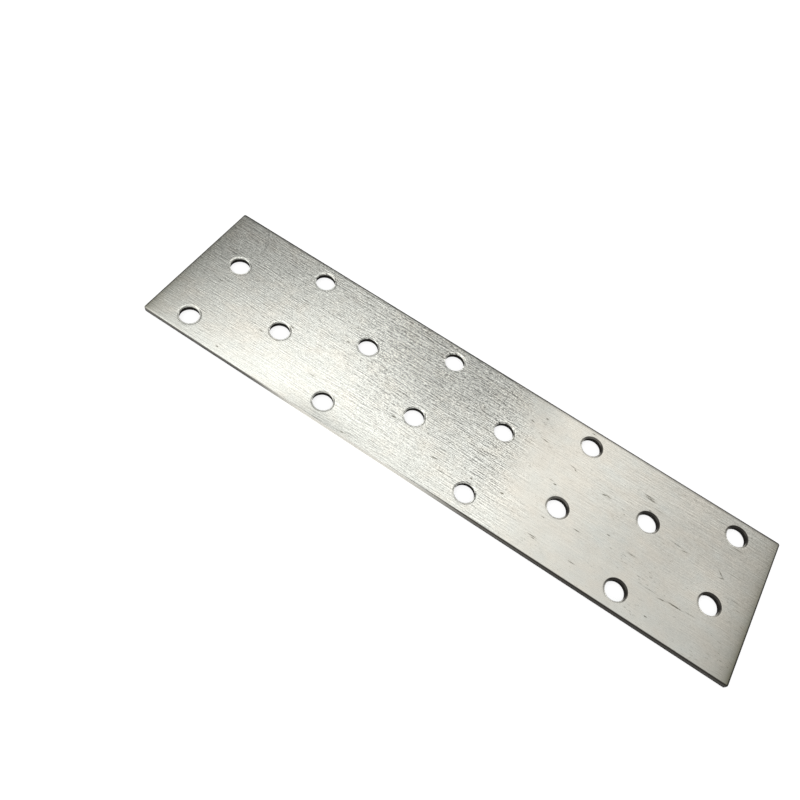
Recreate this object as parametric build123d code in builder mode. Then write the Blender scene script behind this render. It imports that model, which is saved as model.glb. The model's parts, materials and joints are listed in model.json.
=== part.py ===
"""A flat mending plate: a sheared strip of zinc-plated steel with staggered rows of punched nail holes.

The origin is at the middle of the underside, X runs along the plate and Z points up to the punched side.
All sizes are in millimetres.
"""

import os

from build123d import *

# The strip
length = 160.0
width = 40.0
thickness = 1.5
corner_radius = 0.8

# The nail holes, as cut by the punch, and the grid that they are staggered on
hole_diameter = 5.0
column_pitch = 20.0
row_pitch = 10.0

# What the punch leaves at a hole: the top face is drawn down into the rim before the steel gives way
rim_width = 0.55
rim_depth = 0.22

# What the shear leaves along the outline: a smaller pulled-down edge
edge_roll = 0.3

# Under the smooth cut land the steel tears out to the die, which is this much larger all round
die_clearance = 0.08
torn_share = 0.4

# How far a cutting form runs past the face that it cuts
overrun = 1.0

torn_height = torn_share * thickness
hole_radius = hole_diameter / 2
die_radius = hole_radius + die_clearance
rim_radius = hole_radius + rim_width
land_top = thickness - rim_depth

# Every other column of holes sits one row further up, so the pattern is two equal grids, a step apart
grid_columns = int(length // (2 * column_pitch))
grid_rows = int(width // (2 * row_pitch))

# The punched opening as a solid of revolution: torn cone, smooth land, and the rim that bends down to it
with BuildPart() as punched_opening:
    with BuildSketch(Plane.XZ):
        with BuildLine():
            Polyline(
                (rim_radius, thickness),
                (rim_radius, thickness + overrun),
                (0, thickness + overrun),
                (0, -overrun),
                (die_radius, -overrun),
                (die_radius, 0),
                (hole_radius, torn_height),
                (hole_radius, land_top),
            )
            TangentArc((rim_radius, thickness), (hole_radius, land_top), tangent=(-1, 0))
        make_face()
    revolve(axis=Axis.Z)

with BuildPart() as mending_plate:
    with BuildSketch():
        RectangleRounded(length, width, corner_radius)
    extrude(amount=thickness)

    # The sheared outline: pulled down above, torn back below
    top_outline = mending_plate.faces().sort_by(Axis.Z)[-1].edges()
    fillet(top_outline, radius=edge_roll)
    underside = mending_plate.faces().sort_by(Axis.Z)[0]
    chamfer(underside.edges(), length=die_clearance, length2=torn_height, reference=underside)

    # The nail holes
    with Locations((-column_pitch / 2, -row_pitch / 2), (column_pitch / 2, row_pitch / 2)):
        with GridLocations(2 * column_pitch, 2 * row_pitch, grid_columns, grid_rows):
            add(punched_opening.part, mode=Mode.SUBTRACT)

mending_plate.part.label = "mending_plate"
os.makedirs("parts", exist_ok=True)
export_step(mending_plate.part, "parts/mending_plate.step")
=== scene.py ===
"""A flat mending plate of zinc-plated sheet steel: its surfaces, their finish and a plain studio."""

import json
from math import cos, pi, radians, sin

import bmesh
import bpy
import numpy as np
from bpy.props import FloatProperty, FloatVectorProperty, PointerProperty
from mathutils import Matrix, Vector

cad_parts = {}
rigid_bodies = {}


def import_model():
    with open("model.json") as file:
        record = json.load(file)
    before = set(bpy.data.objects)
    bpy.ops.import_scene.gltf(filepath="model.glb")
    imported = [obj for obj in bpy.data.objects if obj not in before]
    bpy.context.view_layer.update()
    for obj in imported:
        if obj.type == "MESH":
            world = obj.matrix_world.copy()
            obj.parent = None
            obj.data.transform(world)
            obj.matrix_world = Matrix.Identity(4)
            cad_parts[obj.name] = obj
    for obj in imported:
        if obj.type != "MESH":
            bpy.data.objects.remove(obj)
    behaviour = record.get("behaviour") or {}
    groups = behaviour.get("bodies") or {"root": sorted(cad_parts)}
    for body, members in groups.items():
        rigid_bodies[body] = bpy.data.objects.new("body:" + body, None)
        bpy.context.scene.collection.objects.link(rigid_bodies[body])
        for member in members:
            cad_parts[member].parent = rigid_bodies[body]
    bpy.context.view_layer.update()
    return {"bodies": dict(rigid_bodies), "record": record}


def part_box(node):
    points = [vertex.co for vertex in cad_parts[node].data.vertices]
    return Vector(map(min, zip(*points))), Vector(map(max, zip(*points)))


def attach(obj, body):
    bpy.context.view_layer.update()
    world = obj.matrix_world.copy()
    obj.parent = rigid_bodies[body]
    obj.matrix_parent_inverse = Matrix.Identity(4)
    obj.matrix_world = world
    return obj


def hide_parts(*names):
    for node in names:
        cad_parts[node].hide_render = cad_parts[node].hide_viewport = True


bl_info = {
    "name": "Mending Plate",
    "version": (1, 0, 0),
    "blender": (4, 5, 0),
    "location": "3D View > Sidebar > Plate",
    "description": "Makes a punched steel mending plate with its zinc finish, and a studio to show it in",
    "category": "Add Mesh",
}

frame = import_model()

MM = 0.001
NODE = "mending_plate"
BODY = next(iter(frame["bodies"]))

# The plate's own sizes, as the frame gives them
LOW, HIGH = (np.array(corner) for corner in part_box(NODE))
HALF = (HIGH[:2] - LOW[:2]) / 2
TOP = HIGH[2]
HOLES = [mount for mount in frame["record"]["mounts"] if mount["kind"] == "bore"]
HOLE_CENTRES = np.array([hole["pos_m"][:2] for hole in HOLES])
HOLE_RADIUS = HOLES[0]["dims"]["r_mm"] * MM
LAND_HEIGHT = HOLES[0]["dims"]["length_mm"] * MM
LAND_MIDDLE = HOLES[0]["pos_m"][2]
LAND_BOTTOM = LAND_MIDDLE - LAND_HEIGHT / 2
LAND_TOP = LAND_MIDDLE + LAND_HEIGHT / 2

# Points up the torn part, along a hole's rim, along the outline's roll, and from a corner's start to its end
TORN_POINTS = 6
RIM_POINTS = 8
ROLL_POINTS = 10
CORNER_POINTS = 7

# How far below the land's top its colour is full, and the width of the strip of flat face next to a hole that
# has points of its own, below and above
LAND_EDGE = 0.02 * MM
STRIP_BELOW = 0.3 * MM
STRIP_ABOVE = 0.25 * MM

# Wavelengths of the line between cut and torn steel, and of the torn part's fine and broad ripples
LINE_WAVE = 2.2 * MM
FINE_TEAR_WAVE = 0.7 * MM
BROAD_TEAR_WAVE = 1.9 * MM

# Slopes in degrees between which the painted shade sets in on a hole's rim and on the outline's roll, and the
# slopes between which that roll turns into cut steel, partly the real land and partly painted shade on the roll
RIM_SHADED = (0, 10)
ROLL_SHADED = (-30, 25)
ROLL_CUT = (40, 75)

# How much painted shade a rim gets all round its hole, how much more where it lies towards a side, and that
# side
SHADE_ALL_ROUND = 0.6
SHADE_MORE = 0.9
SHADE_SIDE = (0.25, 0.97)

# The smallest distance that is divided by, what counts as the same place, and how near points are merged
TINY = 1e-12
SAME_PLACE = 1e-6
MERGE_DISTANCE = 1e-7


def length(name, description, default):
    """A size in metres, shown in the scene's own unit."""
    return FloatProperty(name=name, description=description, default=default, min=0.0,
                         precision=5, subtype="DISTANCE", unit="LENGTH")


def share(name, description, default):
    """A plain number between none and a few times one."""
    return FloatProperty(name=name, description=description, default=default, min=0.0, max=10.0)


def tint(name, description, default):
    """A colour in linear light."""
    return FloatVectorProperty(name=name, description=description, default=default,
                               subtype="COLOR", min=0.0, max=1.0)


class PlateSizes(bpy.types.PropertyGroup):
    """Sizes of the punched and sheared edges."""

    corner_radius: length("Corner radius", "Radius of the plate's corners in plan", 0.5 * MM)
    edge_roll: length("Edge roll", "Radius of the pulled-down edge along the outline", 0.3 * MM)
    rim_width: length("Rim width", "How far the drawn-in rim reaches out from a hole", 0.55 * MM)
    die_clearance: length("Die clearance", "How far the torn part steps back at the underside", 0.08 * MM)
    tear_depth: length("Tear depth", "How deep the torn steel is ragged", 0.022 * MM)
    tear_wander: length("Tear wander", "How far the line between cut and torn steel wanders", 0.07 * MM)
    border_strip: length("Border strip", "How far in from the outline the holes' cells end", 0.45 * MM)
    grid_step: length("Grid step", "Distance between points along edges", 0.5 * MM)


class ZincFinish(bpy.types.PropertyGroup):
    """Colours and strengths of the plate's finish, with its painted shade and painted highlight."""

    zinc: tint("Zinc", "Colour of the plated faces", (0.716, 0.722, 0.668))
    zinc_warm: tint("Warm zinc", "Colour that the plated faces drift to on the right", (0.745, 0.714, 0.635))
    # Painted shade: darkens the zinc towards both ends, where the rolled ends mirror darker light
    end_shade: tint("End shade", "Colour of the painted shade at both ends", (0.06, 0.058, 0.01))
    cut_steel: tint("Cut steel", "Colour of the smooth cut land", (0.14, 0.13, 0.113))
    torn_steel: tint("Torn steel", "Colour of the torn half of the edge", (0.095, 0.088, 0.078))
    # Painted shade on bare steel, low down and in the holes, and the colour of the dull diffuse
    shaded_steel: tint("Shaded steel", "Colour of the painted shade on bare steel, low down and in the punched holes", (0.03, 0.028, 0.025))
    # Painted highlight: a pale zinc colour on the near edge's left half
    near_edge_highlight: tint("Near highlight", "Colour of the painted highlight on the near edge", (0.88, 0.86, 0.79))
    # Colours of the painted shade on the holes' rims and on the outline's rolled edge
    rim_shade: tint("Rim shade", "Colour of the painted shade on the holes' drawn-in rims", (0.035, 0.031, 0.027))
    roll_shade: tint("Roll shade", "Colour of the painted shade on the outline's rolled edge", (0.04, 0.037, 0.03))
    mark: tint("Mark", "Colour of the dark specks and scratches", (0.10, 0.09, 0.06))
    roughness: share("Roughness", "Roughness of the plated faces", 0.18)
    grain_depth: length("Grain depth", "Depth of the rolled grain", 0.038 * MM)
    grain_contrast: share("Grain contrast", "How much the grain changes the colour", 0.94)
    # Strengths of the painted shade at the right and the left end
    right_end_shade: share("Right end shade", "Strength of the painted shade at the right end", 0.78)
    left_end_shade: share("Left end shade", "Strength of the painted shade at the left end", 0.62)


class StudioLook(bpy.types.PropertyGroup):
    """The floor, the light and the camera."""

    floor: tint("Floor", "Colour of the floor as the plate is lit by it", (0.80, 0.80, 0.80))
    floor_seen: share("Floor seen", "Lightness of the shaded part of the floor to the camera", 1.9)
    floor_white: share("Floor white", "How much of the floor's look is plain white", 0.8)
    floor_mirrored: share("Floor mirrored", "How much of the floor is plain white as the steel mirrors it", 0.5)
    world_level: share("World level", "Strength of the light from all round", 0.28)
    horizon_level: share("Horizon level", "Strength of the glow near the horizon", 1.08)
    behind_left: share("Behind left", "Extra light from behind the camera on its left", 0.60)
    behind_drop: share("Behind drop", "How much less light comes from behind the camera on its right", 0.20)
    lamp_level: share("Lamp level", "Strength of the soft lights", 1.0)
    lens: FloatProperty(name="Lens", description="Focal length of the camera", default=36.25,
                        min=1.0, subtype="DISTANCE_CAMERA")


# Surfaces

def border_points(points, inset, corner):
    """The plate's plan, drawn in by inset.

    A point in a corner's square is measured from the corner's centre. The larger of its two steps becomes its
    distance from there, so the square turns into a quarter disc, and all steps shrink by inset over corner.
    """
    centre = HALF - corner
    past = np.maximum(np.abs(points) - centre, 0)
    reach = past.max(axis=-1, keepdims=True)
    distance = np.maximum(np.linalg.norm(past, axis=-1, keepdims=True), TINY)
    bent = past * reach / distance * (corner - inset) / corner
    return np.sign(points) * (np.minimum(np.abs(points), centre) + bent)


def ticks(half, step, corner):
    """Grid lines from one side of the plate to the other, closer together inside the corners' width.

    They are rounded to a nanometre, so that a line that is made twice counts once.
    """
    inner = np.arange(-half + 2 * step, half - 2 * step + step / 2, step)
    outer = half - corner * np.linspace(0, 1, CORNER_POINTS)
    return np.unique(np.round(np.concatenate([-outer, inner, outer]), 9))


def cell_loop(xs, ys):
    """A rectangle's border, anticlockwise, with a point on each grid line and no point twice."""
    bottom = np.stack([xs[:-1], np.full(len(xs) - 1, ys[0])], axis=1)
    right = np.stack([np.full(len(ys) - 1, xs[-1]), ys[:-1]], axis=1)
    top = np.stack([xs[:0:-1], np.full(len(xs) - 1, ys[-1])], axis=1)
    left = np.stack([np.full(len(ys) - 1, xs[0]), ys[:0:-1]], axis=1)
    return np.concatenate([bottom, right, top, left])


def ripple(points, wavelength, seed, waves=16):
    """A smooth random value at each point: a sum of plane waves with headings, lengths and phases as drawn."""
    draw = np.random.default_rng(seed)
    heading = draw.normal(size=(waves, points.shape[-1]))
    heading /= np.linalg.norm(heading, axis=1, keepdims=True)
    number = 2 * pi / (wavelength * draw.uniform(0.6, 1.6, waves))
    phase = draw.uniform(0, 2 * pi, waves)
    return np.sin(points @ (heading * number[:, None]).T + phase).sum(axis=-1) * (2 / waves) ** 0.5


def grid_faces(rows, columns):
    """Quads between neighbouring rows of a grid whose last column meets its first."""
    row, column = np.mgrid[0:rows - 1, 0:columns]
    right = (column + 1) % columns
    here, above = row * columns, (row + 1) * columns
    return np.stack([here + column, above + column, above + right, here + right], axis=-1).reshape(-1, 4)


def place(plan, height):
    """Points in space from points in plan and a height, which may differ from point to point."""
    return np.concatenate([plan, np.broadcast_to(height, plan.shape[:-1])[..., None]], axis=-1)


def torn_rows(plan_at, sizes, seed):
    """The torn part of an edge, from the underside up to the wandering line where the smooth land begins.

    plan_at gives the plan at a distance back from the land. The steel steps back evenly by the die's clearance
    towards the underside, and ripples deeper and shallower between its two ends.
    """
    land = plan_at(0.0)
    line = LAND_BOTTOM + sizes.tear_wander * ripple(land, LINE_WAVE, seed)
    rows = []
    for rise in np.linspace(0, 1, TORN_POINTS):
        even = sizes.die_clearance * (1 - rise)
        ragged = sizes.tear_depth * 4 * rise * (1 - rise)
        spot = place(land, rise * LAND_BOTTOM)
        wave = 0.5 * ripple(spot, FINE_TEAR_WAVE, seed + 1) + 0.5 * ripple(spot, BROAD_TEAR_WAVE, seed + 2)
        back = even + ragged * (1 + wave) / 2
        rows.append((place(plan_at(back[..., None]), rise * line), 1.0, float(rise < 1), 1.0))
    return rows


def slope_share(slope, start, end):
    """A share that grows with an edge's slope: none up to start in degrees, all from end."""
    part = np.clip((slope - radians(start)) / radians(end - start), 0, 1)
    return part * part * (3 - 2 * part)


def stack_rows(rows):
    """A grid from rows of points, and what each row says of them: how cut and torn, and how much painted shade.
    """
    grid = np.stack([row[0] for row in rows])
    columns = np.ones(grid.shape[1])
    return grid, *(np.concatenate([row[mark] * columns for row in rows]) for mark in (1, 2, 3))


def hole_rows(centre, loop, sizes, seed):
    """One punched hole and its flat cell, from the cell's border on the underside to its border on top.

    Each column is a ray from the hole's axis to a border point. It runs in along the underside, up the torn
    cone and the land, out over the drawn-in rim, an arc that ends level with the top face, and back out.
    The rim's painted shade is strongest where its ray points to the far side and a little to the right.
    """
    ray = loop - centre
    ray /= np.linalg.norm(ray, axis=1, keepdims=True)

    def ring(radius):
        return centre + ray * radius

    border = border_points(loop, sizes.border_strip, sizes.corner_radius)
    rim_depth = TOP - LAND_TOP
    arc_radius = (sizes.rim_width ** 2 + rim_depth ** 2) / (2 * rim_depth)
    arc_angle = np.arcsin(sizes.rim_width / arc_radius)
    die_radius = HOLE_RADIUS + sizes.die_clearance
    rim_radius = HOLE_RADIUS + sizes.rim_width
    underside = (border, ring(die_radius + STRIP_BELOW))
    rows = [(place(plan, 0.0), 0.0, 0.0, 0.0) for plan in underside]
    rows += torn_rows(lambda back: ring(HOLE_RADIUS + back), sizes, seed)
    rows.append((place(ring(HOLE_RADIUS), LAND_TOP - LAND_EDGE), 1.0, 0.0, 1.0))
    # The rim's share of painted shade, most on its far side
    leaning = np.clip(SHADE_ALL_ROUND + SHADE_MORE * (ray @ SHADE_SIDE), 0, 1)
    for angle in np.linspace(arc_angle, 0, RIM_POINTS):
        spot = place(ring(rim_radius - arc_radius * sin(angle)), TOP - arc_radius * (1 - cos(angle)))
        rows.append((spot, 0.0, 0.0, leaning * slope_share(angle, *RIM_SHADED)))
    face = (ring(rim_radius + STRIP_ABOVE), border)
    rows += [(place(plan, TOP), 0.0, 0.0, 0.0) for plan in face]
    return stack_rows(rows)


def outline_rows(loop, sizes, seed):
    """The sheared edge all round: the rolled arc at the top, the cut land, and the torn part below it."""

    def drawn_in(inset):
        return border_points(loop, inset, sizes.corner_radius)

    rows = [(place(drawn_in(sizes.border_strip), TOP), 0.0, 0.0, 0.0)]
    # The steep part of the roll is coloured as cut steel, and the bent mark holds the roll's share of painted
    # shade
    for angle in np.linspace(0, pi / 2, ROLL_POINTS):
        spot = place(drawn_in(sizes.edge_roll * (1 - sin(angle))), TOP - sizes.edge_roll * (1 - cos(angle)))
        rows.append((spot, slope_share(angle, *ROLL_CUT), 0.0, slope_share(angle, *ROLL_SHADED)))
    rows += torn_rows(drawn_in, sizes, seed)[::-1]
    rows.append((place(drawn_in(sizes.border_strip), 0.0), 0.0, 0.0, 0.0))
    return stack_rows(rows)


def plate_surface(sizes):
    """The whole plate's points, quads and marks: a cell for each hole, and the sheared edge around them all.

    The cells' borders lie halfway between neighbouring holes, and every border point is on the same grid lines,
    so the cells and the edge meet point to point and are merged there.
    """
    xs, ys = (ticks(half, sizes.grid_step, sizes.corner_radius) for half in HALF)
    grids = []
    columns = np.unique(HOLE_CENTRES[:, 0])
    walls = np.concatenate([[-HALF[0]], (columns[1:] + columns[:-1]) / 2, [HALF[0]]])
    for column, left, right in zip(columns, walls, walls[1:]):
        rows = np.sort(HOLE_CENTRES[HOLE_CENTRES[:, 0] == column, 1])
        floors = np.concatenate([[-HALF[1]], (rows[1:] + rows[:-1]) / 2, [HALF[1]]])
        for row, below, above in zip(rows, floors, floors[1:]):
            cell_xs = xs[(xs > left - SAME_PLACE) & (xs < right + SAME_PLACE)]
            cell_ys = ys[(ys > below - SAME_PLACE) & (ys < above + SAME_PLACE)]
            loop = cell_loop(cell_xs, cell_ys)
            grids.append(hole_rows(np.array([column, row]), loop, sizes, 10 + 3 * len(grids)))
    grids.append(outline_rows(cell_loop(xs, ys), sizes, 5))
    first = np.cumsum([0] + [grid.shape[0] * grid.shape[1] for grid, *_ in grids])
    quads = [grid_faces(*grid.shape[:2]) + start for (grid, *_), start in zip(grids, first)]
    points = np.concatenate([grid.reshape(-1, 3) for grid, *_ in grids])
    cut, torn, bent = (np.concatenate([item[mark] for item in grids]) for mark in (1, 2, 3))
    return points, np.concatenate(quads), {"cut": cut, "torn": torn, "bent": bent}


def new_piece(name, points, quads, marks, crease):
    """A mesh object of these points and quads with its marks as attributes, merged at its seams.

    It is smooth apart from edges sharper than crease.
    """
    mesh = bpy.data.meshes.new(name)
    mesh.from_pydata(points.tolist(), [], quads.tolist())
    for mark, values in marks.items():
        mesh.attributes.new(mark, "FLOAT", "POINT").data.foreach_set("value", values.astype(np.float32))
    work = bmesh.new()
    work.from_mesh(mesh)
    bmesh.ops.remove_doubles(work, verts=work.verts, dist=MERGE_DISTANCE)
    work.to_mesh(mesh)
    work.free()
    mesh.polygons.foreach_set("use_smooth", np.ones(len(mesh.polygons), bool))
    mesh.set_sharp_from_angle(angle=crease)
    piece = bpy.data.objects.new(name, mesh)
    bpy.context.collection.objects.link(piece)
    return piece


# Shader maths

class Socket:
    """A node's output. Python's arithmetic on it adds Math nodes, also with a plain number on the left."""

    def __init__(self, tree, output):
        self.tree = tree
        self.output = output

    def math(self, operation, *values):
        """A Math node on this value and the others."""
        return node(self.tree, "ShaderNodeMath", {"operation": operation}, dict(enumerate((self, *values))))

    def __add__(self, other):
        return self.math("ADD", other)

    __radd__ = __add__

    def __mul__(self, other):
        return self.math("MULTIPLY", other)

    __rmul__ = __mul__

    def __sub__(self, other):
        return self.math("SUBTRACT", other)

    def __rsub__(self, other):
        return (self * -1.0) + other

    def __pow__(self, other):
        return self.math("POWER", other)

    def fade(self, start, end):
        """Nought at start, one at end, and a smooth step between them."""
        settings = {"interpolation_type": "SMOOTHSTEP"}
        return node(self.tree, "ShaderNodeMapRange", settings, {0: self, 1: start, 2: end})


def node(tree, kind, settings=None, inputs=None, output=0):
    """Adds a node, sets its properties first and then its sockets' values or links, and gives an output."""
    made = tree.nodes.new(kind)
    for name, value in (settings or {}).items():
        setattr(made, name, value)
    for key, value in (inputs or {}).items():
        if isinstance(value, Socket):
            tree.links.new(value.output, made.inputs[key])
        else:
            made.inputs[key].default_value = value
    return Socket(tree, made.outputs[output])


def blend(tree, factor, low, high):
    """A colour between low and high."""
    return node(tree, "ShaderNodeMix", {"data_type": "RGBA"}, {0: factor, 6: low, 7: high}, 2)


def opaque(colour, level=1.0):
    """A colour times a level, with full alpha."""
    return (*(min(channel * level, 1.0) for channel in colour), 1.0)


def vector_math(tree, operation, *values, output="Vector"):
    """A Vector Math node on these values."""
    return node(tree, "ShaderNodeVectorMath", {"operation": operation}, dict(enumerate(values)), output)


def position(tree):
    """The place on the plate, in metres along its own axes."""
    return node(tree, "ShaderNodeTexCoord", output="Object")


def noise(tree, name, bend=None):
    """The noise of this name in NOISES, from nought to one, read at a place that bend moves."""
    size, seed, detail, roughness = NOISES[name]
    spot = position(tree) if bend is None else vector_math(tree, "ADD", position(tree), bend)
    vector = vector_math(tree, "MULTIPLY", spot, [1 / (item * MM) for item in size])
    inputs = {"Vector": vector, "W": seed, "Scale": 1.0, "Detail": detail, "Roughness": roughness}
    return node(tree, "ShaderNodeTexNoise", {"noise_dimensions": "4D"}, inputs)


def empty_tree(owner):
    """The node tree of a material or world, without its nodes."""
    owner.use_nodes = True
    owner.node_tree.nodes.clear()
    return owner.node_tree


def put_out(tree, kind, shader):
    """Gives a tree its output node, and links the shader to it."""
    tree.links.new(shader.output, tree.nodes.new(kind).inputs["Surface"])


# Finish

# Noises of the finish: cell along, across and through the sheet in millimetres, seed, detail and roughness
NOISES = {
    "fine": ((1.8, 0.27, 0.27), 1.0, 0.0, 0.5),
    "streaks": ((5.0, 0.33, 0.33), 2.0, 0.0, 0.5),
    "light speckle": ((0.26, 0.22, 0.22), 3.0, 0.0, 0.5),
    "dark speckle": ((0.26, 0.22, 0.22), 3.5, 0.0, 0.5),
    "bands": ((22, 2.2, 2.2), 4.0, 3.0, 0.5),
    "cloud": ((9, 6, 6), 5.0, 3.0, 0.55),
    "broad warmth": ((14, 8, 8), 6.0, 2.0, 0.5),
    "waver": ((7, 2.5, 2.5), 7.0, 1.0, 0.5),
    "dirt": ((1.2, 0.32, 0.32), 8.0, 1.0, 0.5),
    "cut lines": ((0.2, 0.2, 1.5), 9.0, 1.0, 0.5),
    "ragged": ((0.35, 0.35, 0.25), 10.0, 1.0, 0.5),
    "mottle": ((3.0, 2.4, 2.4), 11.0, 2.0, 0.5),
    "flecks": ((1.1, 0.20, 0.20), 12.0, 1.0, 0.5),
    "fleck groups": ((9, 5, 5), 13.0, 1.0, 0.5),
    "small warmth": ((3.5, 2.5, 2.5), 14.0, 1.0, 0.5),
}

# Changes of the finish along the plate: the place from which each is found, and the place from which it is full
ALONG = {
    "coarser grain": (-36 * MM, -20 * MM),
    "smooth side": (9 * MM, 22 * MM),
    "grain near the end": (48 * MM, 74 * MM),
    "warmer zinc": (0.0, 26 * MM),
    # Painted shade on the near edge's roll and on the holes' rims, each from its place on to the right
    "near edge shade": (-12 * MM, 14 * MM),
    "hole rim shade": (16 * MM, 36 * MM),
    "thinner far strip": (-20 * MM, 60 * MM),
    # Painted shade that darkens bare steel to the right
    "darker steel": (28 * MM, 50 * MM),
    # Painted highlight on the near edge, from the first stretch to the end of the second
    "near edge highlight": (-50 * MM, -32 * MM),
    "end of near edge highlight": (-8 * MM, 18 * MM),
    # Painted shade: a dull dark diffuse on the outline's right third
    "dull shade outline": (14 * MM, 40 * MM),
}

# Distances from the middle line between which a long edge's own painted shade and highlight set in
LONG_EDGE = (18.8 * MM, 19.2 * MM)

# Distances in from the outline between which its own painted shade gives way to that of the holes
OUTLINE = (0.5 * MM, 1.0 * MM)

# Heights between which the far edge's roll sets in, painted shade on bare steel fades out upwards, and the
# specks set in
ROLL_HEIGHTS = (1.15 * MM, 1.32 * MM)
SHADE_HEIGHTS = (0.0, 1.1 * MM)
SPECK_HEIGHTS = (0.2 * MM, 1.0 * MM)

# How far the grain wavers across the sheet, and how far a line's light side lies from its dark side
GRAIN_WAVER = 0.5 * MM
GRAIN_SHIFT = 0.18 * MM

# The grain's stretches meet along borders that lean by this share of y, and that the cloud moves by this much
BORDER_LEAN = 0.35
BORDER_WANDER = 14 * MM

# How coarse the grain is at the left end, and what is added to that in the middle, beyond it and near the right
# end
COARSE_LEFT = 0.65
COARSE_MIDDLE = 0.57
COARSE_SMOOTH = -1.08
COARSE_RIGHT = 0.11

# What coarseness is multiplied by on the middle line, and what is added to that per metre towards the far edge
COARSE_ACROSS = 1.13
COARSE_FAR = 0.036 / MM

# Strengths of the grain's parts in the colour, and how much lighter coarse grain is
FINE_COLOUR = 1.05
STREAK_COLOUR = 1.45
SPECKLE_COLOUR = 1.5
COARSE_LIGHTER = 0.04

# How dark and how light the zinc can get, as shares of its own colour
DARKEST = 0.25
LIGHTEST = 1.4

# Warmth all over, of the broad and the small noise, on the right, and on the right per metre to the far edge
WARMTH = 0.14
BROAD_WARMTH = 1.2
SMALL_WARMTH = 1.5
RIGHT_WARMTH = 0.5
FAR_WARMTH = 0.006 / MM

# Values of a noise between which dirt, flecks and groups of flecks set in
DIRT_SHOWS = (0.64, 0.80)
FLECKS_SHOW = (0.62, 0.74)
GROUPS_SHOW = (0.46, 0.62)

# Strength of the placed specks, how far the speckle and the fine lines break them up, the strength of the
# flecks, and the most that specks and flecks cover
SPECKS = 1.8
SPECKLED = 4.0
LINED = 3.0
FLECKS = 0.5
MOST_COVERED = 0.9

# Painted shade at the ends, narrow and broad: its share at the very end, and the distance inwards that leaves
# 1/e of it
END_SHADE = ((0.60, 1.2 * MM), (0.38, 5.5 * MM))

# How much the painted shade at the right and the left end grows from the middle line to the near edge
RIGHT_SHADE_NEAR = 0.24
LEFT_SHADE_NEAR = 0.2

# The thin strip of painted shade along the far edge: the distance inwards that leaves 1/e of it, its strength
# at the edge, and what that loses to the right
FAR_STRIP = 0.23 * MM
FAR_STRIP_STRENGTH = 3.0
FAR_STRIP_LOSS = 0.4

# The most painted shade that this strip and the holes' rims get
MOST_SHADED = 0.95

# How far cut and torn steel vary about their colours, and how much painted shade darkens them on the right and
# low down
CUT_VARIES = 0.4
TORN_VARIES = 0.6
DARKER_RIGHT = 0.5
DARKER_BOTTOM = 0.7

# How far painted shade, a dull diffuse, covers the outline's right third and holes' rims, and how much more the
# holes' cut steel
DULL_SHADE_RIGHT = 0.6
DULL_SHADE_RIMS = 0.55
DULL_SHADE_CUTS_MORE = 0.45

# What the fine lines, the cloud, torn steel and cut steel add to the roughness
FINE_ROUGHER = 0.05
CLOUD_ROUGHER = 0.05
TORN_ROUGHER = 0.35
CUT_ROUGHER = 0.08

# Heights of the fine lines, the streaks and the torn steel as shares of the grain's depth, and the part of the
# relief that is there on smooth zinc with what coarse grain adds to it
FINE_HEIGHT = 0.5
STREAK_HEIGHT = 0.36
TORN_HEIGHT = 3.0
SMOOTH_RELIEF = 0.40
COARSE_RELIEF = 0.6

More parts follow.
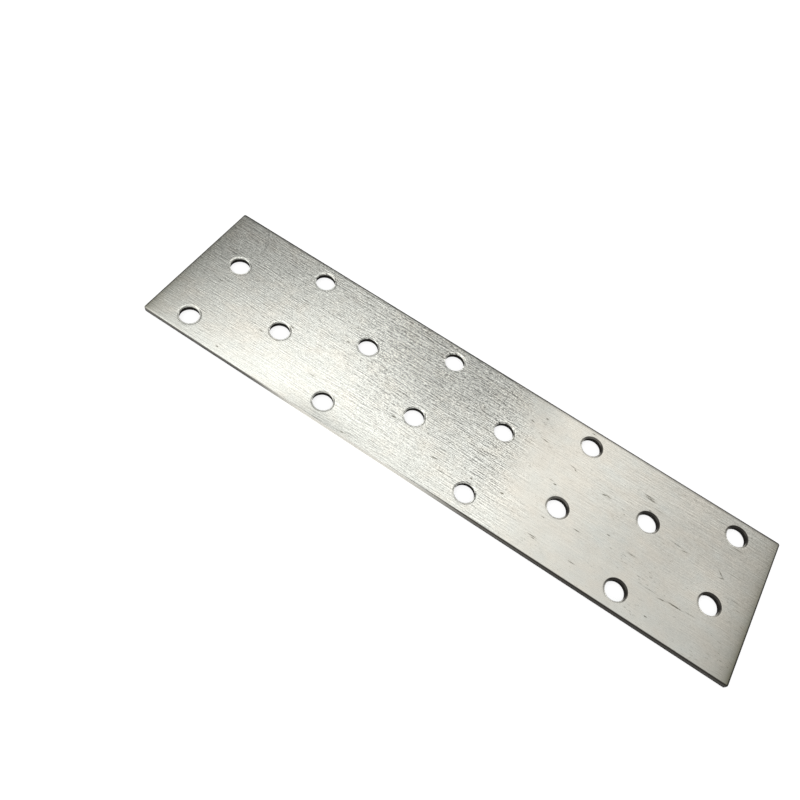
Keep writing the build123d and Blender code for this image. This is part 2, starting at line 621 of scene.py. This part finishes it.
# Marks on the top face in millimetres: middle along and across, half length, half width, turn in degrees,
# strength
MARKS = [
    (57.0, -10.2, 1.4, 0.10, 0, 0.31), (60.0, -10.7, 0.9, 0.11, 8, 0.62), (63.2, -10.3, 1.4, 0.12, 0, 0.94),
    (66.8, -10.0, 1.1, 0.09, 2, 0.44), (48.3, 11.0, 1.2, 0.22, -4, 0.62), (47.6, 11.5, 0.9, 0.10, 0, 0.62),
    (51.0, 9.4, 1.6, 0.16, 0, 0.25), (17.3, 15.1, 0.35, 0.16, 0, 0.62), (14.5, 12.3, 0.4, 0.12, -10, 1),
    (29.0, 18.7, 0.5, 0.14, 0, 0.5), (19.6, 9.3, 0.9, 0.09, -6, 0.44), (28.6, 7.0, 0.8, 0.10, -8, 0.56),
    (29.4, 6.6, 0.4, 0.10, -20, 0.62), (38.0, 5.0, 0.5, 0.13, 12, 0.75), (39.2, 5.2, 0.7, 0.09, -6, 0.5),
    (26.8, 0.1, 0.35, 0.13, 0, 0.75), (25.6, 0.6, 0.6, 0.07, 0, 0.38), (43.2, -3.8, 0.35, 0.12, 0, 0.62),
    (49.8, -5.0, 1.2, 0.22, 0, 0.25), (36.4, -7.4, 0.7, 0.10, 0, 0.56), (17.3, -9.8, 0.4, 0.17, 10, 0.75),
    (28.1, -9.2, 0.5, 0.10, 0, 0.44), (9.5, -10.9, 0.35, 0.14, 0, 0.62), (28.2, -14.9, 0.8, 0.09, 0, 0.75),
    (28.6, -15.3, 0.6, 0.09, 0, 0.62), (38.6, -15.2, 0.9, 0.10, 0, 0.38), (58.2, -16.5, 0.35, 0.12, 0, 0.62),
    (58.0, 4.0, 1.4, 0.10, -3, 0.44), (60.3, 3.5, 0.8, 0.09, 8, 0.5), (69.8, 3.6, 1.1, 0.10, -42, 0.44),
    (70.3, 2.7, 0.6, 0.09, 20, 0.44), (75.2, -0.8, 0.9, 0.09, 0, 0.44), (72.8, 5.0, 1.5, 0.07, -2, 0.31),
    (71.5, 11.8, 0.9, 0.10, 0, 0.44), (49.3, 8.1, 0.3, 0.13, 0, 0.62), (-0.4, -11.6, 0.6, 0.12, 4, 1),
    (-14.0, -8.1, 0.5, 0.12, 8, 0.88), (-34.7, 3.0, 0.35, 0.14, 0, 0.88), (-48.2, -2.2, 0.45, 0.12, -8, 0.88),
    (-53.6, -7.9, 0.7, 0.14, 0, 0.44), (-36.2, -10.7, 0.9, 0.09, 0, 0.5), (-59.0, -18.2, 0.3, 0.14, 0, 0.75),
    (-21.7, -19.2, 0.35, 0.12, 0, 0.75), (-38.5, 17.6, 0.5, 0.07, -12, 0.62), (-70.8, -1.7, 0.5, 0.10, 0, 0.5),
]

# Broad soft patches where the finish is lighter or darker, in the same order
PATCHES = [
    (12.0, -4.0, 5.0, 9.0, 0, -0.15), (-10.0, -9.0, 8.0, 6.0, 0, 0.14), (-28.0, -19.5, 11.0, 2.4, 0, -0.30),
    (68.0, -2.5, 7.0, 6.0, 0, 0.15), (45.0, 17.0, 9.0, 3.5, 0, -0.09), (23.0, 18.0, 5.0, 3.0, 0, 0.08),
    (-66.0, -3.0, 8.0, 5.0, 0, 0.07), (3.0, 10.0, 6.0, 4.0, 0, -0.09),
]

# Broad soft patches where it is warmer or cooler
WARM_PATCHES = [
    (25.0, 4.0, 8.0, 12.0, 0, 0.35), (40.0, -2.0, 6.0, 14.0, 0, -0.20), (78.0, -4.0, 6.0, 14.0, 0, 0.25),
    (-54.0, -9.0, 8.0, 6.0, 0, 0.35),
]


def ovals(tree, table):
    """The table's ovals added up, each its strength times e to the power -(a^2 + b^2) of its half sizes."""
    total = None
    for x, y, half_length, half_width, turn, strength in table:
        cosine, sine = cos(radians(turn)), sin(radians(turn))
        spot = vector_math(tree, "SUBTRACT", position(tree), (x * MM, y * MM, TOP))
        along = (cosine / (half_length * MM), sine / (half_length * MM), 0)
        across = (-sine / (half_width * MM), cosine / (half_width * MM), 0)
        a = vector_math(tree, "DOT_PRODUCT", spot, along, output="Value")
        b = vector_math(tree, "DOT_PRODUCT", spot, across, output="Value")
        oval = ((a * a + b * b) * -1.0).math("EXPONENT") * strength
        total = oval if total is None else total + oval
    return total


class SheetFields:
    """What the finish is worked out from: the place on the sheet, its marks, a slow cloud and the rolled grain.

    The grain is fine lines and long streaks that waver together. A line's light and dark sides are its height
    less its height a little further across the sheet.
    """

    def __init__(self, tree):
        self.tree = tree
        # The bent mark holds how much painted shade a bent-down edge gets
        self.cut, self.torn, self.bent = (self.mark(name) for name in ("cut", "torn", "bent"))
        spot = position(tree)
        self.x, self.y, self.z = (node(tree, "ShaderNodeSeparateXYZ", {}, {0: spot}, axis) for axis in "XYZ")
        here = node(tree, "ShaderNodeCombineXYZ", {}, {"Y": self.even_noise("waver") * GRAIN_WAVER})
        beside = vector_math(tree, "ADD", here, (0, GRAIN_SHIFT, 0))
        self.fine = self.even_noise("fine", here)
        self.fine_sides = self.fine - self.even_noise("fine", beside)
        self.streaks = self.even_noise("streaks", here)
        self.streak_sides = self.streaks - self.even_noise("streaks", beside)
        self.speckle = noise(tree, "light speckle") - noise(tree, "dark speckle")
        self.cloud = self.even_noise("cloud")

        # The grain is coarsest around the middle and almost smooth beyond it, and coarser towards the far edge
        place_along = self.x + self.cloud * BORDER_WANDER + self.y * BORDER_LEAN
        self.smooth_side = place_along.fade(*ALONG["smooth side"])
        coarse = COARSE_LEFT + place_along.fade(*ALONG["coarser grain"]) * COARSE_MIDDLE
        coarse = coarse + self.smooth_side * COARSE_SMOOTH + self.along("grain near the end") * COARSE_RIGHT
        self.coarse = coarse * (self.y * COARSE_FAR + COARSE_ACROSS)

        # All but a strip along the outline, and the near edge
        from_end, from_side = (half - axis.math("ABSOLUTE") for half, axis in zip(HALF, (self.x, self.y)))
        self.inside = from_end.math("MINIMUM", from_side).fade(*OUTLINE)
        inner, outer = LONG_EDGE
        self.near_side = 1 - self.y.fade(-outer, -inner)

    def mark(self, name):
        """One of the values that the surface carries at its points."""
        return node(self.tree, "ShaderNodeAttribute", {"attribute_name": name}, output="Fac")

    def even_noise(self, name, bend=None):
        """The noise of this name, as much below nought as above."""
        return noise(self.tree, name, bend) - 0.5

    def along(self, change):
        """How far this change in ALONG has come, from nought to one."""
        return self.x.fade(*ALONG[change])


def plated_zinc(sheet, finish):
    """The plated face: zinc that is darker and lighter along the grain, warmer to the right, with specks on it.

    Its level is one, plus the grain, plus each other cause of light and dark times a strength that is different
    on the smooth side. Its warmth is two noises and patches, and more to the right and towards the far edge.
    """
    tree, smooth_side = sheet.tree, sheet.smooth_side
    grain = sheet.fine_sides * FINE_COLOUR + sheet.streak_sides * STREAK_COLOUR + sheet.speckle * SPECKLE_COLOUR
    level = grain * finish.grain_contrast * sheet.coarse + sheet.coarse * COARSE_LIGHTER
    dirt = noise(tree, "dirt").fade(*DIRT_SHOWS)
    causes = [
        (sheet.even_noise("bands"), 0.10, -0.04),
        (sheet.even_noise("mottle"), 0.05, 0.07),
        (sheet.cloud, 0.05, 0.08),
        (dirt, -0.13, -0.10),
    ]
    for cause, strength, smooth_more in causes:
        level = level + cause * (smooth_side * smooth_more + strength)
    level = (level + ovals(tree, PATCHES) + 1.0).math("MAXIMUM", DARKEST).math("MINIMUM", LIGHTEST)

    warmth = sheet.even_noise("broad warmth") * BROAD_WARMTH + sheet.even_noise("small warmth") * SMALL_WARMTH
    warmth = warmth + sheet.along("warmer zinc") * (sheet.y * FAR_WARMTH + RIGHT_WARMTH)
    warmth = warmth + ovals(tree, WARM_PATCHES) + WARMTH
    zinc = blend(tree, warmth, opaque(finish.zinc), opaque(finish.zinc_warm))
    zinc = node(tree, "ShaderNodeVectorMath", {"operation": "SCALE"}, {0: zinc, "Scale": level})

    specks = ovals(tree, MARKS) * (SPECKS + sheet.speckle * SPECKLED + sheet.fine * LINED)
    specks = (specks * sheet.z.fade(*SPECK_HEIGHTS)).math("MAXIMUM", 0.0)
    flecks = noise(tree, "flecks").fade(*FLECKS_SHOW) * noise(tree, "fleck groups").fade(*GROUPS_SHOW)
    specks = specks + flecks * smooth_side * FLECKS
    return blend(tree, specks.math("MINIMUM", MOST_COVERED), zinc, opaque(finish.mark))


def painted_end_shade(sheet, finish, zinc):
    """The zinc, darkened towards both ends by painted shade, and more so towards the near edge.

    The painted shade falls off inwards as e to the power -distance over a narrow width, plus the same over a
    broad one, and is multiplied by the end's strength.
    """
    near = sheet.y * (-1 / HALF[1])
    right = (HALF[0] - sheet.x, near * RIGHT_SHADE_NEAR + finish.right_end_shade)
    left = (HALF[0] + sheet.x, near * LEFT_SHADE_NEAR + finish.left_end_shade)
    for distance, strength in (right, left):
        distance = distance.math("MAXIMUM", 0.0)
        narrow, broad = ((distance * (-1 / width)).math("EXPONENT") * most for most, width in END_SHADE)
        zinc = blend(sheet.tree, (narrow + broad) * strength, zinc, opaque(finish.end_shade))
    return zinc


def painted_edge_shade(sheet):
    """How much painted shade the bent-down edges get, and a thin strip of the top along the far edge.

    They get it all round apart from the near edge's left half, and at the holes only on the right.
    """
    # Painted shade on the rolled edges and the holes' rims
    at_outline = 1 - sheet.near_side * (1 - sheet.along("near edge shade"))
    at_holes = sheet.along("hole rim shade") * MOST_SHADED
    painted_shade = sheet.bent * (at_outline + (at_holes - at_outline) * sheet.inside)
    # A thin strip of painted shade along the far edge
    far_strip = ((HALF[1] - sheet.y) * (-1 / FAR_STRIP)).math("EXPONENT")
    far_strip = far_strip * (FAR_STRIP_STRENGTH - sheet.along("thinner far strip") * FAR_STRIP_LOSS)
    return painted_shade.math("MAXIMUM", far_strip.math("MINIMUM", MOST_SHADED))


def bare_steel(sheet, finish, ragged):
    """Cut and torn steel, with painted shade that darkens it to the right, downwards and in the holes.

    A painted highlight of pale zinc colour lies over the stretch of the near edge that ends around the middle.
    """
    tree = sheet.tree

    def varied(value, colour, amount):
        return blend(tree, value, opaque(colour, 1 - amount), opaque(colour, 1 + amount))

    cut_steel = varied(noise(tree, "cut lines"), finish.cut_steel, CUT_VARIES)
    torn_steel = varied(ragged, finish.torn_steel, TORN_VARIES)
    bare = blend(tree, sheet.torn, cut_steel, torn_steel)
    # Painted shade: bare steel darker to the right, towards the underside and all through the holes
    bare = blend(tree, sheet.along("darker steel") * DARKER_RIGHT, bare, opaque(finish.torn_steel))
    bare = blend(tree, (1 - sheet.z.fade(*SHADE_HEIGHTS)) * DARKER_BOTTOM, bare, opaque(finish.shaded_steel))
    bare = blend(tree, sheet.inside, bare, opaque(finish.shaded_steel))
    # A painted highlight of pale zinc colour on the near edge's left half
    near_highlight = sheet.along("near edge highlight") * (1 - sheet.along("end of near edge highlight")) * sheet.near_side
    return blend(tree, near_highlight, bare, opaque(finish.near_edge_highlight))


def dull_shade_share(sheet, painted_shade):
    """How far a dull diffuse paints shade on bare and shaded steel: the far edge's roll, the right third and
    the holes.
    """
    far_roll = sheet.y.fade(*LONG_EDGE) * sheet.z.fade(*ROLL_HEIGHTS)
    right_outline = sheet.along("dull shade outline") * (1 - sheet.inside) * DULL_SHADE_RIGHT
    holes = sheet.inside * (sheet.cut * DULL_SHADE_CUTS_MORE + DULL_SHADE_RIMS)
    dull_places = far_roll.math("MAXIMUM", holes).math("MAXIMUM", right_outline)
    return painted_shade.math("MAXIMUM", sheet.cut) * dull_places


def zinc_material(finish):
    """Zinc over rolled sheet: wavering streaks along the plate, faint clouds, dark steel at the cuts, and
    painted shade and highlight.
    """
    material = bpy.data.materials.new("zinc_over_rolled_steel")
    tree = empty_tree(material)
    sheet = SheetFields(tree)
    painted_shade = painted_edge_shade(sheet)
    ragged = noise(tree, "ragged")
    # Painted shade on the rims and rolled edges, and painted shade at both ends
    edge_shade_steel = blend(tree, sheet.inside, opaque(finish.roll_shade), opaque(finish.rim_shade))
    zinc = blend(tree, painted_shade, painted_end_shade(sheet, finish, plated_zinc(sheet, finish)), edge_shade_steel)
    colour = blend(tree, sheet.cut, zinc, bare_steel(sheet, finish, ragged))
    roughness = finish.roughness + sheet.fine * FINE_ROUGHER + sheet.cloud * CLOUD_ROUGHER
    roughness = roughness + sheet.torn * TORN_ROUGHER + sheet.cut * CUT_ROUGHER
    height = sheet.fine * FINE_HEIGHT + sheet.streaks * STREAK_HEIGHT
    height = height * (sheet.coarse * COARSE_RELIEF + SMOOTH_RELIEF)
    height = height + sheet.torn * (ragged - 0.5) * TORN_HEIGHT
    bump = node(tree, "ShaderNodeBump", {}, {"Strength": 1.0, "Distance": finish.grain_depth, "Height": height})
    steel = {"Base Color": colour, "Metallic": 1.0, "Roughness": roughness, "Normal": bump}
    metal = node(tree, "ShaderNodeBsdfPrincipled", {}, steel)
    # A dull dark diffuse that stands in as painted shade
    dull = node(tree, "ShaderNodeBsdfDiffuse", {}, {"Color": opaque(finish.shaded_steel), "Roughness": 0.5})
    shader = node(tree, "ShaderNodeMixShader", {}, {0: dull_shade_share(sheet, painted_shade), 1: metal, 2: dull})
    put_out(tree, "ShaderNodeOutputMaterial", shader)
    return material


class PLATE_OT_sheet(bpy.types.Operator):
    """Make the punched and sheared plate with its zinc finish"""

    bl_idname = "plate.sheet"
    bl_label = "Punched Plate"

    def execute(self, context):
        piece = new_piece("punched_plate", *plate_surface(context.scene.plate_sizes), radians(30))
        piece.data.materials.append(zinc_material(context.scene.plate_finish))
        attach(piece, BODY)
        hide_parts(NODE)
        return {"FINISHED"}


# Studio

# Soft lights in the sky: compass angle from +Y towards +X, height angle, half width and half height as sines,
# turn about its own middle, and brightness
SOFT_LIGHTS = {
    "overhead": (-81.0, 77.8, 0.221, 0.672, -124.5, 0.908),
    "left strip": (-37.8, 23.4, 0.099, 0.685, 238.4, 0.787),
    "right strip": (28.0, 17.9, 1.042, 0.077, -109.7, 0.693),
    "key": (-38.5, 59.2, 0.104, 0.225, -83.8, 1.350),
}

# The rise of a direction, as a sine, at which the horizon's glow has fallen to 1/e
GLOW_RISE = 0.28

# Sines between which the extra light sets in towards the camera's side, and between which it drops to the right
BEHIND = (0.0, 0.3)
BEHIND_RIGHT = (-0.05, 0.10)

# Half the floor's side in metres
FLOOR_HALF = 2.0

# Where the camera stands: its aim on the top face, and its angles and distance from there
CAMERA_AIM = Vector((-15.29 * MM, -3.25 * MM, TOP))
CAMERA_AZIMUTH = 15.94
CAMERA_ELEVATION = 57.95
CAMERA_ROLL = 18.85
CAMERA_DISTANCE = 196.26 * MM


def floor_material(look):
    """A matt floor. The camera sees it part plain white and part shaded, so that the shadow stays but is light.

    The steel mirrors it with less of the plain white.
    """
    material = bpy.data.materials.new("studio_floor")
    tree = empty_tree(material)
    seen = node(tree, "ShaderNodeLightPath", output="Is Camera Ray")
    colour = blend(tree, seen, opaque(look.floor), (look.floor_seen,) * 3 + (1.0,))
    matt = node(tree, "ShaderNodeBsdfDiffuse", {}, {"Color": colour})
    white = node(tree, "ShaderNodeEmission", {}, {"Strength": 1.0})
    mirrored = node(tree, "ShaderNodeLightPath", output="Is Glossy Ray")
    share_white = seen * look.floor_white + mirrored * look.floor_mirrored
    shader = node(tree, "ShaderNodeMixShader", {}, {0: share_white, 1: matt, 2: white})
    put_out(tree, "ShaderNodeOutputMaterial", shader)
    return material


def studio_world(look):
    """A pale sky that is lighter near the horizon, with soft lights in it, and plain white to the camera.

    With a and b a direction's sines away from a light's middle, sideways and upwards, over its half width and
    half height, the light's brightness there is its strength times e to the power -(a^4 + b^4).
    """
    world = bpy.data.worlds.new("studio_world")
    tree = empty_tree(world)
    direction = node(tree, "ShaderNodeTexCoord", output="Generated")

    def towards(axis):
        return vector_math(tree, "DOT_PRODUCT", direction, axis, output="Value")

    rise = towards((0, 0, 1)).math("MAXIMUM", 0.0)
    glow = ((rise * (1 / GLOW_RISE)) ** 2 * -1.0).math("EXPONENT")
    level = glow * look.horizon_level + look.world_level
    drop = towards((1, 0, 0)).fade(*BEHIND_RIGHT) * look.behind_drop
    level = level + towards((0, -1, 0)).fade(*BEHIND) * (look.behind_left - drop)
    for azimuth, elevation, width, height, turn, strength in SOFT_LIGHTS.values():
        middle = compass(azimuth, elevation)
        side = Vector((0, 0, 1)).cross(middle).normalized()
        upward = middle.cross(side)
        cosine, sine = cos(radians(turn)), sin(radians(turn))
        across = towards(tuple(side * cosine + upward * sine)) * (1 / width)
        aloft = towards(tuple(upward * cosine - side * sine)) * (1 / height)
        falloff = ((across * across) ** 2 + (aloft * aloft) ** 2) * -1.0
        facing = towards(tuple(middle)).math("GREATER_THAN", 0.0)
        level = level + falloff.math("EXPONENT") * facing * (strength * look.lamp_level)
    camera = node(tree, "ShaderNodeLightPath", output="Is Camera Ray")
    strength = level + (1 - level) * camera
    shader = node(tree, "ShaderNodeBackground", {}, {"Color": (1, 1, 1, 1), "Strength": strength})
    put_out(tree, "ShaderNodeOutputWorld", shader)
    return world


def compass(azimuth, elevation):
    """The direction at a compass angle from +Y towards +X and a height angle, in degrees."""
    across, up = radians(azimuth), radians(elevation)
    return Vector((sin(across) * cos(up), cos(across) * cos(up), sin(up)))


def studio_camera(look):
    """The camera at the photograph's place, rolled as it was held."""
    data = bpy.data.cameras.new("camera")
    data.lens = look.lens
    data.clip_start = 0.01
    camera = bpy.data.objects.new("camera", data)
    bpy.context.collection.objects.link(camera)
    back = compass(180 - CAMERA_AZIMUTH, CAMERA_ELEVATION)
    facing = back.to_track_quat("Z", "Y").to_matrix().to_4x4()
    place_at = CAMERA_AIM + back * CAMERA_DISTANCE
    camera.matrix_world = Matrix.Translation(place_at) @ facing @ Matrix.Rotation(radians(CAMERA_ROLL), 4, "Z")
    return camera


class PLATE_OT_studio(bpy.types.Operator):
    """Make the floor, the sky with its soft lights, and the camera"""

    bl_idname = "plate.studio"
    bl_label = "Studio"

    def execute(self, context):
        look = context.scene.plate_studio
        mesh = bpy.data.meshes.new("floor")
        corners = [(x * FLOOR_HALF, y * FLOOR_HALF, 0) for x, y in ((-1, -1), (1, -1), (1, 1), (-1, 1))]
        mesh.from_pydata(corners, [], [(0, 1, 2, 3)])
        mesh.materials.append(floor_material(look))
        floor = bpy.data.objects.new("floor", mesh)
        context.collection.objects.link(floor)
        context.scene.world = studio_world(look)
        context.scene.camera = studio_camera(look)
        context.scene.view_settings.view_transform = "Standard"
        return {"FINISHED"}


class PLATE_PT_panel(bpy.types.Panel):
    """The plate's tools and sizes"""

    bl_idname = "PLATE_PT_panel"
    bl_label = "Mending Plate"
    bl_space_type = "VIEW_3D"
    bl_region_type = "UI"
    bl_category = "Plate"

    def draw(self, context):
        for group in (context.scene.plate_sizes, context.scene.plate_finish, context.scene.plate_studio):
            box = self.layout.box()
            for name in group.__annotations__:
                box.prop(group, name)
        for operator in (PLATE_OT_sheet, PLATE_OT_studio):
            self.layout.operator(operator.bl_idname)


CLASSES = (PlateSizes, ZincFinish, StudioLook, PLATE_OT_sheet, PLATE_OT_studio, PLATE_PT_panel)


def register():
    for item in CLASSES:
        bpy.utils.register_class(item)
    bpy.types.Scene.plate_sizes = PointerProperty(type=PlateSizes)
    bpy.types.Scene.plate_finish = PointerProperty(type=ZincFinish)
    bpy.types.Scene.plate_studio = PointerProperty(type=StudioLook)


def unregister():
    del bpy.types.Scene.plate_studio
    del bpy.types.Scene.plate_finish
    del bpy.types.Scene.plate_sizes
    for item in reversed(CLASSES):
        bpy.utils.unregister_class(item)


def main():
    register()
    bpy.ops.plate.studio()
    bpy.ops.plate.sheet()


if __name__ == "__main__":
    main()
